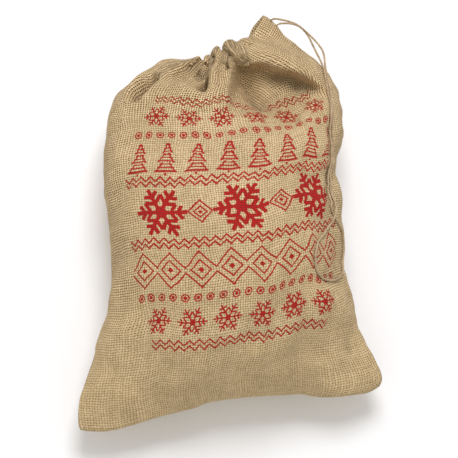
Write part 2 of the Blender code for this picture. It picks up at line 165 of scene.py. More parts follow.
# Folds pressed in at the hem: share of the cloth's width, depth, half width, and how far down
# the cloth they reach.
FOLDS_FRONT = (
    (0.660, 0.003, 0.0110, 0.024),
    (0.120, 0.001, 0.0110, 0.024),
)
FOLDS_BACK = (
    (0.24, 0.004, 0.0165, 0.045),
    (0.41, 0.005, 0.0150, 0.060),
    (0.58, 0.005, 0.0150, 0.050),
    (0.76, 0.005, 0.0150, 0.060),
)

# Creases in the front, and ridges where the depth is below 0, seen from above: half width, depth,
# and the points they run through.
CREASES = (
    (0.0018, 0.005, ((0.0025, 0.1660), (0.0010, 0.1610), (0.0000, 0.1560), (-0.0010, 0.1520),
                     (-0.0020, 0.1450))),
    (0.0033, 0.024, ((-0.0030, 0.1450), (-0.0035, 0.1400), (-0.0045, 0.1360), (-0.0060, 0.1310),
                     (-0.0085, 0.1250), (-0.0110, 0.1210))),
    (0.0075, 0.004, ((0.0000, 0.1700), (-0.0020, 0.1560), (-0.0035, 0.1430), (-0.0055, 0.1280))),
    (0.0080, 0.004, ((-0.0030, 0.1560), (-0.0110, 0.1535), (-0.0215, 0.1505),
                     (-0.0325, 0.1440))),
    (0.0065, -0.004, ((-0.0325, 0.1375), (-0.0255, 0.1295), (-0.0180, 0.1205),
                      (-0.0110, 0.1125))),
    (0.0050, -0.004, ((0.0075, 0.1525), (0.0055, 0.1395), (0.0030, 0.1230), (0.0000, 0.1085))),
    (0.0052, 0.027, ((-0.0425, 0.1540), (-0.0525, 0.1490), (-0.0615, 0.1420),
                     (-0.0690, 0.1340), (-0.0760, 0.1250))),
    (0.0045, -0.004, ((-0.0480, 0.1590), (-0.0575, 0.1545), (-0.0665, 0.1470),
                      (-0.0740, 0.1390), (-0.0810, 0.1300))),
    (0.0018, 0.005, ((0.0100, 0.1680), (0.0095, 0.1620), (0.0090, 0.1570), (0.0095, 0.1520))),
    (0.0020, 0.004, ((0.0200, 0.1740), (0.0215, 0.1655), (0.0225, 0.1595), (0.0220, 0.1530))),
    (0.0016, 0.008, ((0.0220, 0.1690), (0.0255, 0.1620), (0.0290, 0.1570))),
    (0.0018, 0.014, ((0.0190, 0.1530), (0.0185, 0.1490), (0.0200, 0.1440))),
    (0.0020, 0.009, ((0.0250, 0.1550), (0.0290, 0.1535), (0.0340, 0.1525), (0.0410, 0.1500))),
    (0.0018, 0.010, ((0.0320, 0.1590), (0.0360, 0.1570), (0.0415, 0.1535), (0.0460, 0.1515))),
    (0.0026, -0.004, ((0.0300, 0.1565), (0.0350, 0.1550), (0.0405, 0.1525))),
    (0.0016, 0.005, ((0.0400, 0.1745), (0.0445, 0.1700), (0.0500, 0.1710))),
    (0.0090, -0.003, ((0.0160, 0.1355), (0.0190, 0.1200), (0.0225, 0.1035), (0.0270, 0.0885))),
    (0.0070, 0.010, ((0.0330, 0.1480), (0.0375, 0.1330), (0.0405, 0.1190), (0.0450, 0.1050),
                     (0.0530, 0.0930))),
    (0.0050, 0.0045, ((0.1180, 0.1250), (0.1165, 0.1110), (0.1090, 0.0805), (0.1030, 0.0505),
                     (0.0945, 0.0205), (0.0885, -0.0095), (0.0865, -0.0330))),
    (0.0170, -0.005, ((0.0500, -0.0880), (0.0750, -0.0920), (0.1000, -0.0850))),
    (0.0110, 0.004, ((-0.1180, -0.1180), (-0.1000, -0.0960), (-0.0880, -0.0700))),
    (0.0100, 0.003, ((-0.0300, -0.1240), (0.0000, -0.1180), (0.0300, -0.1200))),
)
CREASE_TAPERS = (0.30, 0.30)   # shares of a crease's length over which its two ends fade

# The flap: a broad fold beside the right seam that rolls under along this line, seen from above.
FLAP_LIP = ((0.024, 0.149), (0.041, 0.143), (0.053, 0.139), (0.067, 0.132), (0.084, 0.123),
            (0.097, 0.116), (0.107, 0.109), (0.116, 0.101))
FLAP_TAPERS = (0.11, 0.40)     # shares of its length over which its two ends fade
# Across the lip: distance up the flap (negative is in the hollow below it), lift, and lean
# towards the hollow.
FLAP_PROFILE = (
    (-0.070, 0.000, 0.000),
    (-0.056, -0.004, 0.000),
    (-0.043, -0.014, 0.000),
    (-0.028, -0.021, 0.000),
    (-0.012, -0.020, 0.000),
    (-0.004, -0.018, -0.002),
    (0.000, -0.014, -0.003),
    (0.003, -0.005, -0.001),
    (0.006, 0.005, 0.004),
    (0.009, 0.010, 0.006),
    (0.014, 0.0125, 0.005),
    (0.024, 0.009, 0.001),
    (0.038, 0.003, 0.000),
    (0.055, 0.000, 0.000),
)
LEAN_DIRECTION = (-0.4, -0.9)

# Soft waves in the front: length, direction in degrees, phase, height.
WAVES = (
    (0.061, 12.0, 0.4, 0.0010),
    (0.047, 74.0, 2.1, 0.0008),
    (0.036, 131.0, 4.4, 0.0006),
    (0.029, 48.0, 1.2, 0.0004),
    (0.023, 160.0, 5.3, 0.0004),
    (0.019, 98.0, 3.0, 0.0003),
)
PUCKER_LENGTH = 0.023      # along a side seam from one pucker to the next
PUCKER_HEIGHT = 0.0005
PUCKER_START = 0.004       # how far from the seam they reach their height
PUCKER_REACH = 0.014       # how far from the seam they fade

# ---------------------------------------------------------------- the drawstring
# One twine leaves the hem by two holes beside the right seam.  Its two strands hang in an arc
# over the shoulder, lie side by side down the crease, cross, and are joined by a loop.
HOLE_1 = (0.0732, 0.2005)      # seen from above
HOLE_2 = (0.0772, 0.1926)
STRAND_1_ARC = ((0.0858, 0.2004, 0.0690), (0.0956, 0.1990, 0.0635), (0.1051, 0.1972, 0.0550),
                (0.1120, 0.1905, 0.0480), (0.1130, 0.1781, 0.0540), (0.1115, 0.1625, 0.0700))
STRAND_2_ARC = ((0.0876, 0.1928, 0.0765), (0.0979, 0.1914, 0.0730), (0.1056, 0.1869, 0.0670),
                (0.1122, 0.1795, 0.0650), (0.1165, 0.1691, 0.0680), (0.1168, 0.1552, 0.0780))
STRAIGHT_OUT = 0.002           # the twine leaves its hole straight, over this distance
# Seen from above: the middle of the pair of strands, and the loop from strand 1 to strand 2.
PAIR_LINE = ((0.1120, 0.1380), (0.1108, 0.1195), (0.1100, 0.1020), (0.1070, 0.0860),
             (0.1032, 0.0634), (0.0990, 0.0390), (0.0938, 0.0250), (0.0900, 0.0070),
             (0.0904, -0.0040))
TWINE_LOOP = ((0.0935, -0.0170), (0.0990, -0.0270), (0.0975, -0.0420), (0.0945, -0.0550),
              (0.0885, -0.0650), (0.0785, -0.0715), (0.0685, -0.0720), (0.0630, -0.0660),
              (0.0622, -0.0560), (0.0670, -0.0410), (0.0745, -0.0340), (0.0830, -0.0230),
              (0.0890, -0.0165))
STRAND_SPACING = 0.0036
STRAND_GAP = 0.0027            # two strands' middle lines come no closer than this
NEIGHBOUR_STEPS = 14           # points of the route too near along it to be another strand
CROSSING = (0.0909, -0.0085)   # strand 2 passes over strand 1 here, in a low hump
CROSSING_LIFT = 0.0032
CROSSING_REACH = 0.008
TWINE_POINTS = 1100
ROUTE_STEPS = 500              # points of the smooth route before it is thinned
HELD_STEPS = 5                 # points at each end that keep their direction
SETTLE_ROUNDS = 20             # rounds of easing the twine and lifting it clear of the cloth


# ---------------------------------------------------------------- curves through rows
def smooth(places, values, at):
    """The smooth curve through a table's rows, read at the places in at."""
    places = np.asarray(places, float)
    values = np.asarray(values, float)
    at = np.clip(np.asarray(at, float), places[0], places[-1])
    spans = np.diff(places)
    rates = np.diff(values) / spans
    slopes = np.empty_like(values)
    slopes[0] = rates[0]
    slopes[-1] = rates[-1]
    slopes[1:-1] = (rates[:-1] * spans[1:] + rates[1:] * spans[:-1]) / (spans[1:] + spans[:-1])
    row = np.clip(np.searchsorted(places, at, side="right") - 1, 0, len(spans) - 1)
    k = (at - places[row]) / spans[row]
    start = (1 + 2 * k) * (1 - k) ** 2 * values[row] + k * (1 - k) ** 2 * spans[row] * slopes[row]
    end = k * k * (3 - 2 * k) * values[row + 1] + k * k * (k - 1) * spans[row] * slopes[row + 1]
    return start + end


def columns_at(table, at):
    """Every column of a table after its first, read at the places in at."""
    rows = np.asarray(table, float)
    return [smooth(rows[:, 0], rows[:, column], at) for column in range(1, rows.shape[1])]


def ease(low, high, value):
    """0 below low, 1 above high, and smooth between them."""
    k = np.clip((value - low) / (high - low), 0.0, 1.0)
    return k * k * (3 - 2 * k)


# ---------------------------------------------------------------- the cloth's surface
def rest_on_floor(z):
    """Flatten what would be below the floor, rounding onto it."""
    rounded = (z + FLOOR_EASE) ** 2 / (4 * FLOOR_EASE)
    return np.where(z > FLOOR_EASE, z, np.where(z < -FLOOR_EASE, 0.0, rounded))


def section_point(share, across, front):
    """A point of the filled sack: share up the seams, across from the left seam to the right."""
    left_x, left_y, left_z, right_x, right_y, right_z, rise, drop, edge, sag = columns_at(
        SECTIONS, share)
    left_x = left_x + columns_at(LEFT_SWAY, share)[0]
    right_x = right_x + columns_at(RIGHT_SWAY, share)[0]
    middle = 2 * across - 1
    x = left_x + (right_x - left_x) * across
    y = left_y + (right_y - left_y) * across
    z = left_z + (right_z - left_z) * across
    y = y - sag * (1 - middle ** 2) * (1.0 if front else BACK_SAG)
    near_fold = 1 - ease(0.0, SEAM_SHARE, share)
    droop = CORNER_DROOP * (1 - np.abs(middle) ** CORNER_SHARPNESS)
    y = y + near_fold * (columns_at(FOLD_DRAWN, across)[0] - droop)
    z = z + near_fold * FOLD_LIFT * (1 - middle ** 2)
    dome = np.clip(1 - np.abs(middle) ** SECTION_FULLNESS, 0.0, 1.0) ** edge
    if front:
        z = z + rise * dome + EDGE_THICKNESS / 2
    else:
        z = rest_on_floor(z - drop * dome - EDGE_THICKNESS / 2)
    return np.stack([x, y, z], axis=-1)


def even_places(share, cloth, front):
    """Where across each section the cloth's columns lie, so that they are evenly spaced."""
    fine = np.linspace(0.0, 1.0, EVEN_STEPS)
    places = np.empty_like(share)
    for row in range(share.shape[0]):
        line = section_point(np.full_like(fine, share[row, 0]), fine, front)
        run = np.concatenate([[0.0], np.cumsum(np.linalg.norm(np.diff(line, axis=0), axis=1))])
        places[row] = np.interp(cloth[row], run / run[-1], fine)
    return places


def outward(grid, front):
    """Unit normals of a grid of points, pointing out of the sack."""
    normal = np.cross(np.gradient(grid, axis=1), np.gradient(grid, axis=0))
    normal /= np.maximum(np.linalg.norm(normal, axis=-1, keepdims=True), 1e-9)
    return normal if front else -normal


def beside_line(x, y, line):
    """Signed distance from a line seen from above (positive on its left) and share along it."""
    line = np.asarray(line, float)
    lengths = np.linalg.norm(np.diff(line, axis=0), axis=1)
    nearest = np.full(x.shape, np.inf)
    signed = np.zeros(x.shape)
    along = np.zeros(x.shape)
    run = 0.0
    for start, end, length in zip(line[:-1], line[1:], lengths):
        way = (end - start) / length
        ahead = np.clip((x - start[0]) * way[0] + (y - start[1]) * way[1], 0.0, length)
        off_x = x - start[0] - ahead * way[0]
        off_y = y - start[1] - ahead * way[1]
        distance = np.hypot(off_x, off_y)
        closer = distance < nearest
        nearest = np.where(closer, distance, nearest)
        side = np.where(way[0] * off_y - way[1] * off_x < 0, -1.0, 1.0)
        signed = np.where(closer, side * distance, signed)
        along = np.where(closer, (run + ahead) / lengths.sum(), along)
        run += length
    return signed, along


def fade_ends(along, tapers):
    """1 along a line, falling to 0 at its two ends."""
    return ease(0.0, tapers[0], along) * (1 - ease(1 - tapers[1], 1.0, along))


def half_sack(shares, widths, front):
    """The front's or back's grid of points, a row for each share and a column for each width."""
    share, cloth = np.meshgrid(shares, widths, indexing="ij")
    grid = section_point(share, even_places(share, cloth, front), front)
    top = np.ones_like(share)
    plain_hem = section_point(top, even_places(top, cloth, front), front)
    hem = np.stack(columns_at(HEM_FRONT if front else HEM_BACK, cloth), axis=-1)
    hem[..., 2] += EDGE_THICKNESS / (2 if front else -2)
    drawn_in = ease(1 - HEM_REACH, 1.0, share)[..., None]
    grid = grid + drawn_in * (hem - plain_hem)

    inward = np.zeros_like(share)
    below_hem = (1 - share) * BAG_HEIGHT
    for place, depth, half_width, reach in (FOLDS_FRONT if front else FOLDS_BACK):
        across = np.exp(-((cloth - place) * BAG_WIDTH / half_width) ** 2)
        inward += depth * across * np.exp(-(below_hem / reach) ** 2)
    if not front:
        return grid - outward(grid, front) * inward[..., None]

    x = grid[..., 0]
    y = grid[..., 1]
    for length, direction, phase, height in WAVES:
        ahead = x * math.cos(math.radians(direction)) + y * math.sin(math.radians(direction))
        inward += height * np.sin(2 * math.pi * ahead / length + phase)
    from_seam = BAG_WIDTH * np.minimum(cloth, 1 - cloth)
    pucker = np.sin(2 * math.pi * share * BAG_HEIGHT / PUCKER_LENGTH + np.where(cloth < 0.5, 0, 2))
    near_seam = np.exp(-(from_seam / PUCKER_REACH) ** 2) * ease(0.0, PUCKER_START, from_seam)
    inward += PUCKER_HEIGHT * pucker * near_seam
    for half_width, depth, line in CREASES:
        signed, along = beside_line(x, y, line)
        inward += depth * np.exp(-(signed / half_width) ** 2) * fade_ends(along, CREASE_TAPERS)
    up_flap, along = beside_line(x, y, FLAP_LIP)
    lift, lean = columns_at(FLAP_PROFILE, up_flap)
    lip = fade_ends(along, FLAP_TAPERS)
    grid = grid - outward(grid, front) * inward[..., None]
    grid[..., 0] += LEAN_DIRECTION[0] * lean * lip
    grid[..., 1] += LEAN_DIRECTION[1] * lean * lip
    grid[..., 2] += lift * lip
    return grid


# ---------------------------------------------------------------- the drawstring's route
def lay_on(cloth, x, y, height):
    """The place height out from the cloth's upper side at x, y, and the cloth's normal there."""
    place, normal, _, _ = cloth.ray_cast(Vector((x, y, 1.0)), Vector((0.0, 0.0, -1.0)))
    return place + normal * height, normal


def leave_hole(cloth, hole, towards):
    """The twine's end and the point where it has left its hole, turning towards its arc."""
    end, normal = lay_on(cloth, *hole, END_GAP)
    way = (normal + (Vector(towards) - end).normalized()).normalized()
    return [end, end + way * STRAIGHT_OUT]


def pair_strands(cloth, height):
    """The places of the two strands where they lie side by side."""
    middles = [lay_on(cloth, x, y, height) for x, y in PAIR_LINE]
    strands = ([], [])
    for index, (middle, normal) in enumerate(middles):
        before = middles[max(index - 1, 0)][0]
        after = middles[min(index + 1, len(middles) - 1)][0]
        aside = (after - before).cross(normal).normalized() * (STRAND_SPACING / 2)
        strands[0].append(middle + aside)
        strands[1].append(middle - aside)
    return strands


def curve_through(points, count):
    """Evenly spaced points on the smooth curve through a route's points."""
    points = np.asarray(points, float)
    run = np.concatenate([[0.0], np.cumsum(np.linalg.norm(np.diff(points, axis=0), axis=1))])
    fine = np.linspace(0.0, run[-1], 4 * count)
    curve = np.stack([smooth(run, points[:, axis], fine) for axis in range(3)], axis=-1)
    length = np.concatenate([[0.0], np.cumsum(np.linalg.norm(np.diff(curve, axis=0), axis=1))])
    even = np.linspace(0.0, length[-1], count)
    return np.stack([np.interp(even, length, curve[:, axis]) for axis in range(3)], axis=-1)


def part_strands(dense):
    """Move the free points of the route apart where two strands come too close together."""
    steps = np.arange(len(dense))
    apart = dense[:, None] - dense[None]
    distance = np.linalg.norm(apart, axis=-1)
    distance[np.abs(steps[:, None] - steps) < NEIGHBOUR_STEPS] = np.inf
    nearest = distance.argmin(axis=1)
    gap = distance[steps, nearest]
    short = np.clip(STRAND_GAP - gap, 0.0, None)
    push = apart[steps, nearest] * (short / (2 * gap))[:, None]
    dense[HELD_STEPS:-HELD_STEPS] += push[HELD_STEPS:-HELD_STEPS]


def twine_route(cloth):
    """The drawstring's middle line, from one hole round the loop to the other."""
    clear = TWINE_DIAMETER / 2 + LYING_GAP
    strand_1, strand_2 = pair_strands(cloth, clear)
    loop = [lay_on(cloth, x, y, clear)[0] for x, y in TWINE_LOOP]
    ends = [leave_hole(cloth, hole, arc[0])
            for hole, arc in ((HOLE_1, STRAND_1_ARC), (HOLE_2, STRAND_2_ARC))]
    route = [*ends[0], *STRAND_1_ARC, *strand_1, *loop]
    lying_from = len(STRAND_1_ARC) + 2
    over_from = len(route)
    route += [*reversed(strand_2), *reversed(STRAND_2_ARC), *reversed(ends[1])]
    lying_to = over_from + len(strand_2) - 1
    marks = np.asarray([tuple(point) for point in route])
    dense = curve_through(marks, ROUTE_STEPS)
    first, over, last = (int(np.argmin(np.linalg.norm(dense - marks[index], axis=1)))
                         for index in (lying_from, over_from - 2, lying_to))
    for settle in range(SETTLE_ROUNDS):
        free = slice(HELD_STEPS, ROUTE_STEPS - HELD_STEPS)
        dense[free] = ((dense[:-2] + 2 * dense[1:-1] + dense[2:]) / 4)[HELD_STEPS - 1:
                                                                       1 - HELD_STEPS]
        part_strands(dense)
        for step in range(free.start, free.stop):
            point = Vector(dense[step])
            place, normal, _, _ = cloth.find_nearest(point)
            off_crossing = np.hypot(point.x - CROSSING[0], point.y - CROSSING[1])
            lift = CROSSING_LIFT * np.exp(-(off_crossing / CROSSING_REACH) ** 2)
            height = (point - place).dot(normal)
            lowest = clear + (lift if over < step < last else 0.0)
            if height < lowest or (settle == 0 and first <= step <= last):
                dense[step] = place + normal * lowest
    return curve_through(dense, TWINE_POINTS)


# ---------------------------------------------------------------- node graphs
class Graph:
    """A material's node tree, with its sums written as calls.  A value is a number or a socket."""

    def __init__(self, name):
        self.material = bpy.data.materials.new(name)
        self.material.use_nodes = True
        self.tree = self.material.node_tree
        self.shader = self.tree.nodes["Principled BSDF"]

    def node(self, kind, **settings):
        made = self.tree.nodes.new(kind)
        for name, value in settings.items():
            setattr(made, name, value)
        return made

    def feed(self, socket, value):
        if isinstance(value, bpy.types.NodeSocket):
            self.tree.links.new(value, socket)
        else:
            socket.default_value = value

    def math(self, operation, *values):
        made = self.node("ShaderNodeMath", operation=operation)
        for socket, value in zip(made.inputs, values):
            self.feed(socket, value)
        return made.outputs[0]

    def add(self, a, b):
        return self.math("ADD", a, b)

    def subtract(self, a, b):
        return self.math("SUBTRACT", a, b)

    def times(self, a, b):
        return self.math("MULTIPLY", a, b)

    def size(self, a):
        return self.math("ABSOLUTE", a)

    def least(self, a, b):
        return self.math("MINIMUM", a, b)

    def most(self, a, b):
        return self.math("MAXIMUM", a, b)

    def length(self, a, b):
        return self.math("SQRT", self.add(self.times(a, a), self.times(b, b)))

    def vector(self, x, y, z=0.0):
        made = self.node("ShaderNodeCombineXYZ")
        for socket, value in zip(made.inputs, (x, y, z)):
            self.feed(socket, value)
        return made.outputs[0]

    def noise(self, place, scale, detail=2.0, roughness=0.5):
        made = self.node("ShaderNodeTexNoise")
        self.feed(made.inputs["Vector"], place)
        made.inputs["Scale"].default_value = scale
        made.inputs["Detail"].default_value = detail
        made.inputs["Roughness"].default_value = roughness
        return made.outputs[0]

    def chance(self, place):
        """A number from 0 to 1 that is the same wherever place is the same."""
        made = self.node("ShaderNodeTexWhiteNoise")
        self.feed(made.inputs["Vector"], place)
        return made.outputs[0]

    def band(self, value, low, high, to_low=0.0, to_high=1.0):
        """value from low..high, eased to to_low..to_high."""
        made = self.node("ShaderNodeMapRange", interpolation_type="SMOOTHSTEP")
        for socket, number in zip(made.inputs, (value, low, high, to_low, to_high)):
            self.feed(socket, number)
        return made.outputs[0]

    def mix(self, share, a, b):
        made = self.node("ShaderNodeMix", data_type="RGBA")
        self.feed(made.inputs[0], share)
        self.feed(made.inputs[6], a)
        self.feed(made.inputs[7], b)
        return made.outputs[2]

    def scaled(self, colour, value):
        """A colour made brighter or darker by value."""
        made = self.node("ShaderNodeVectorMath", operation="SCALE")
        self.feed(made.inputs[0], colour)
        self.feed(made.inputs["Scale"], value)
        return made.outputs[0]

    def finished(self, colour, roughness, height, tallest):
        """The material, with a colour, and bumps that stand tallest metres high at height 1."""
        self.feed(self.shader.inputs["Base Color"], colour)
        self.shader.inputs["Roughness"].default_value = roughness
        self.shader.inputs["Specular IOR Level"].default_value = JUTE_SHEEN
        bump = self.node("ShaderNodeBump")
        bump.inputs["Distance"].default_value = tallest
        self.feed(bump.inputs["Height"], height)
        self.feed(self.shader.inputs["Normal"], bump.outputs[0])
        return self.material


JUTE_SHEEN = 0.2           # jute is matt: this is under half of the usual specular level


# ---------------------------------------------------------------- the woven cloth's material
def cloth_place(graph, name):
    """The cloth's own place: millimetres across it, millimetres up it, and 1 on the front."""
    place = graph.node("ShaderNodeAttribute", attribute_name=name)
    parts = graph.node("ShaderNodeSeparateXYZ")
    graph.feed(parts.inputs[0], place.outputs["Vector"])
    return place.outputs["Vector"], *parts.outputs


def yarn(graph, index, along, offset, over, side, opened):
    """One set of parallel yarns: (height where it shows, tone).  index counts the yarns and along
    runs up them, both in pitches; offset is from the yarn's middle, over is -1 to 1, and opened
    is how much narrower the yarns look where the cloth is strained."""
    slub = graph.noise(graph.vector(graph.times(index, 7.31), graph.times(along, SLUB_RATE), side),
                       1.0)
    half_width = graph.subtract(graph.band(slub, 0.25, 0.75, *YARN_HALF_WIDTHS), opened)
    reach = graph.math("DIVIDE", offset, half_width)
    profile = graph.math("SQRT", graph.most(graph.subtract(1.0, graph.times(reach, reach)), 0.0))
    height = graph.add(graph.times(profile, 0.5), graph.times(over, 0.5))
    absent = graph.math("GREATER_THAN", graph.size(reach), 1.0)
    chance = graph.chance(graph.vector(index, side, 3.7))
    tone = graph.add(graph.times(chance, 0.10), graph.times(slub, 0.30))
    return graph.subtract(height, graph.times(absent, 2.0)), tone


def weave(graph, place, across, up, side):
    """(height from 0 to 1, tone from about 0 to 1, how far it is opened) of an uneven weave."""
    wander = graph.noise(place, 0.035, 1.0)
    shake = graph.noise(place, 0.30, 1.0)
    drift = graph.add(graph.times(wander, 2.2), graph.times(shake, 0.30))
    warp_place = graph.add(graph.times(across, 1.0 / WARP_PITCH), drift)
    weft_place = graph.add(graph.times(up, 1.0 / WEFT_PITCH), drift)
    warp = graph.math("FLOOR", warp_place)
    weft = graph.math("FLOOR", weft_place)
    warp_offset = graph.subtract(graph.subtract(warp_place, warp), 0.5)
    weft_offset = graph.subtract(graph.subtract(weft_place, weft), 0.5)
    turn = graph.math("COSINE", graph.times(graph.add(warp, weft), math.pi))
    warp_over = graph.times(turn, graph.math("COSINE", graph.times(weft_offset, math.pi)))
    weft_over = graph.times(graph.times(turn, -1.0),
                            graph.math("COSINE", graph.times(warp_offset, math.pi)))
    off_middle = graph.size(graph.subtract(across, 500 * BAG_WIDTH))
    aside = graph.times(graph.band(off_middle, *OPENED_ASIDE),
                        graph.band(up, *ASIDE_BETWEEN, 0.0, 0.9 * OPENED))
    opened = graph.most(graph.band(up, *OPENED_BETWEEN, 0.0, OPENED), aside)
    warp_height, warp_tone = yarn(graph, warp, weft_place, warp_offset, warp_over, side, opened)
    weft_height, weft_tone = yarn(graph, weft, warp_place, weft_offset, weft_over,
                                  graph.add(side, 20.0), opened)
    warp_shows = graph.math("GREATER_THAN", warp_height, weft_height)
    tone = graph.add(graph.times(warp_shows, warp_tone),
                     graph.times(graph.subtract(1.0, warp_shows), weft_tone))
    height = graph.most(graph.most(warp_height, weft_height), -0.25)
    return graph.band(height, -0.25, 1.0), tone, opened


# ---------------------------------------------------------------- the print's motifs
# Each gives the distance in millimetres outside its lines, less than 0 inside them.
def crystal(graph, x, y, radius, line):
    """A snow crystal: six arms with two pairs of twigs, and a ring round its middle."""
    angle = graph.math("ARCTAN2", y, x)
    turns = graph.math("ROUND", graph.times(angle, 3.0 / math.pi))
    folded = graph.size(graph.subtract(angle, graph.times(turns, math.pi / 3.0)))
    away = graph.length(x, y)
    ahead = graph.times(away, graph.math("COSINE", folded))
    aside = graph.times(away, graph.math("SINE", folded))
    shape = graph.most(aside, graph.subtract(ahead, radius))
    for place, reach in CRYSTAL_TWIGS:
        from_root = graph.subtract(ahead, place * radius)
        along = graph.add(graph.times(from_root, 0.5), graph.times(aside, 0.866))
        off = graph.size(graph.subtract(graph.times(aside, 0.5), graph.times(from_root, 0.866)))
        beyond = graph.most(graph.times(along, -1.0), graph.subtract(along, reach * radius))
        shape = graph.least(shape, graph.most(off, beyond))
    ring = graph.size(graph.subtract(away, CRYSTAL_RING * radius))
    return graph.subtract(graph.least(shape, ring), line / 2)


def tree(graph, x, y, height, line):
    """A fir tree: three tiers drawn round and hatched across, on a short trunk."""
    aside = graph.size(x)
    up = graph.add(graph.times(y, 1.0 / height), 0.5)
    tier = graph.math("FRACT", graph.times(up, 3.0))
    taper = graph.subtract(1.0, graph.times(up, 0.75))
    half_width = graph.times(graph.times(taper, 0.36 * height),
                             graph.subtract(1.0, graph.times(tier, 0.5)))
    outside = graph.most(graph.times(graph.subtract(aside, half_width), 0.8),
                         graph.most(graph.times(up, -height),
                                    graph.times(graph.subtract(up, 1.0), height)))
    outline = graph.size(graph.add(outside, line / 2))
    hatch = graph.size(graph.subtract(graph.math("FRACT", graph.times(up, 9.0)), 0.5))
    hatched = graph.most(graph.times(hatch, height / 9.0), outside)
    trunk = graph.most(aside, graph.size(graph.add(y, 0.56 * height)))
    trunk = graph.subtract(trunk, 0.035 * height)
    return graph.least(graph.subtract(graph.least(outline, hatched), line / 2), trunk)


def diamond(graph, x, y, size, line):
    """Two diamonds, one inside the other, and a dot."""
    away = graph.times(graph.add(graph.size(x), graph.size(y)), 0.707)
    outer = graph.size(graph.subtract(away, 0.62 * size))
    inner = graph.size(graph.subtract(away, 0.34 * size))
    dot = graph.subtract(away, 0.07 * size)
    return graph.subtract(graph.least(graph.least(outer, inner), dot), line / 2)


def dot(graph, x, y, size, line):
    """A ring with a filled middle."""
    away = graph.length(x, y)
    ring = graph.size(graph.subtract(away, size))
    return graph.subtract(graph.least(ring, graph.subtract(away, size / 3)), line / 2)


def zigzag(graph, x, y, size, line):
    """Two zigzag lines, one above the other; x runs over one tooth."""
    tooth = graph.subtract(graph.size(x), size / 2)
    off = graph.times(graph.subtract(y, tooth), 0.707)
    above = graph.size(graph.subtract(off, ZIGZAG_GAP / 2))
    below = graph.size(graph.add(off, ZIGZAG_GAP / 2))
    return graph.subtract(graph.least(above, below), line / 2)


def print_share(graph, place, across, up):
    """How much of the print's red lies on the cloth, from 0 to 1."""
    sway = graph.subtract(graph.noise(place, 0.06, 1.0), 0.5)
    tremble = graph.subtract(graph.noise(place, 0.55, 1.0), 0.5)
    wobble = graph.add(graph.times(sway, PRINT_SWAY), graph.times(tremble, PRINT_TREMBLE))
    x = graph.add(graph.subtract(across, PRINT_MIDDLE[0]), wobble)
    y = graph.subtract(graph.subtract(up, PRINT_MIDDLE[1]), wobble)
    outside = 10.0
    for motif, middle, pitch, count, size, line in PRINT_ROWS:
        number = graph.math("ROUND", graph.times(graph.subtract(x, (1 - count % 2) * pitch / 2),
                                                 1.0 / pitch))
        in_cell = graph.subtract(x, graph.add(graph.times(number, pitch),
                                              (1 - count % 2) * pitch / 2))
        above = graph.subtract(y, middle)
        shape = motif(graph, in_cell, above, size, line)
        past_row = graph.subtract(graph.size(x), count * pitch / 2)
        outside = graph.least(outside, graph.most(shape, past_row))
    return graph.band(outside, -PRINT_EDGE, PRINT_EDGE, 1.0, 0.0)


CRYSTAL_TWIGS = ((0.42, 0.34), (0.70, 0.24))   # place along an arm, length, as shares of its radius
CRYSTAL_RING = 0.17
ZIGZAG_GAP = 3.4                               # millimetres
PRINT_MIDDLE = (154.0, 193.0)                  # millimetres across and up the cloth
PRINT_SWAY = 3.0
PRINT_TREMBLE = 0.9
PRINT_EDGE = 0.22
# motif, middle above the print's, pitch, how many, size, line: millimetres
PRINT_ROWS = (
    (zigzag, 119.0, 9.0, 19, 4.5, 1.3),
    (crystal, 98.0, 32.0, 6, 12.5, 1.4),
    (dot, 77.0, 11.0, 19, 3.0, 1.2),
    (tree, 53.0, 27.0, 8, 30.0, 1.3),
    (zigzag, 29.0, 9.0, 24, 4.5, 1.5),
    (crystal, 0.0, 72.0, 3, 23.0, 3.7),
    (diamond, 0.0, 72.0, 2, 12.0, 1.4),
    (zigzag, -29.0, 9.0, 24, 4.5, 1.5),
    (diamond, -53.0, 27.0, 8, 18.0, 1.4),
    (dot, -77.0, 11.0, 19, 3.0, 1.2),
    (crystal, -98.0, 32.0, 6, 12.5, 1.4),
    (zigzag, -119.0, 9.0, 19, 4.5, 1.3),
)
WARP_PITCH = 2.24          # millimetres
WEFT_PITCH = 2.22
YARN_HALF_WIDTHS = (0.355, 0.42)    # of a pitch, at a thin place and at a slub
SLUB_RATE = 0.22
OPENED_BETWEEN = (255.0, 325.0)    # millimetres up the cloth
OPENED_ASIDE = (75.0, 125.0)       # millimetres from its middle
ASIDE_BETWEEN = (50.0, 150.0)      # millimetres up the cloth
OPENED = 0.125
HOLLOWS_BETWEEN = (0.9, 3.4)       # millimetres below the cloth round them
# The real creases close over themselves, which this surface doesn't, so their shade is partly
# made by a darker tone at their bottoms.
HOLLOW_TONES = (1.0, 0.60)
STRAINED_TONES = (0.94, 1.12)       # the cloth is paler where it is strained
BUMP_HEIGHT = 0.0006       # metres from the bottom of the weave to its top
YARN_DARK = (0.45, 0.305, 0.140, 1.0)
YARN_LIGHT = (0.87, 0.675, 0.408, 1.0)
# Painted shade: the dark of the unlit inside of the sack seen through the weave's gaps, also used for
# the shade on the yarns where they dip under their neighbours.
GAP_SHADE_COLOUR = (0.080, 0.042, 0.016, 1.0)
PRINT_COLOUR = (0.42, 0.012, 0.013, 1.0)
PATCH_SCALE = 0.022        # of the cloth's lighter and darker patches, one over millimetres
PATCH_TONES = (0.93, 1.06)
CLOTH_ROUGHNESS = 0.92


